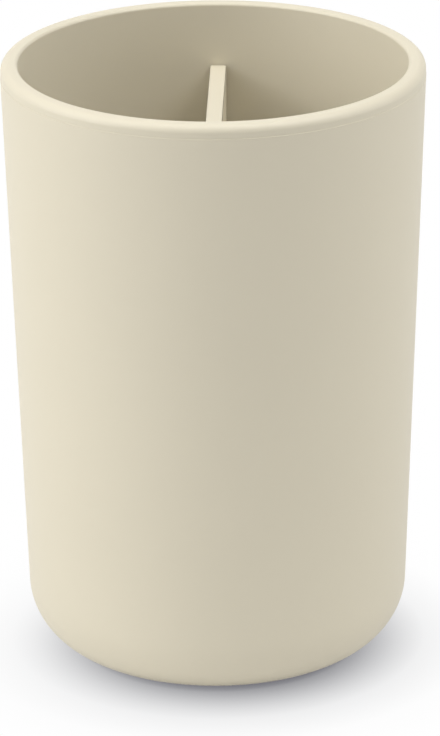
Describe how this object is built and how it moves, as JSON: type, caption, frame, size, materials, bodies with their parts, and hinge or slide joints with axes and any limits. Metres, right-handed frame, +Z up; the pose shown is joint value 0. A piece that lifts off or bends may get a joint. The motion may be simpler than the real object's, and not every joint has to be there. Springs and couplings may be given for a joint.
{
  "type": "toothbrush holder",
  "caption": "Round tapered tumbler with a rounded rim, standing on a non-slip ring, with a lift-out divider plate that keeps toothbrushes and a paste tube apart.",
  "frame": {"origin": "on the cup's axis, on the surface that the holder stands on", "axes": "+Z up along the cup's axis, +Y along the divider, so the compartments lie on the +X and -X sides"},
  "size_m": [0.075, 0.075, 0.11],
  "materials": {
    "cup_plastic": "satin-matte moulded beige",
    "divider_plastic": "satin-matte moulded beige",
    "ring_rubber": "soft matte elastomer"
  },
  "bodies": {
    "cup": {"cup": "cup_plastic", "base_ring": "ring_rubber"},
    "divider": {"divider": "divider_plastic"}
  },
  "joints": [
    {"name": "divider_lift", "type": "slide", "parent": "cup", "child": "divider", "axis": [0, 0, 1], "range_m": [0, 0.11]}
  ]
}
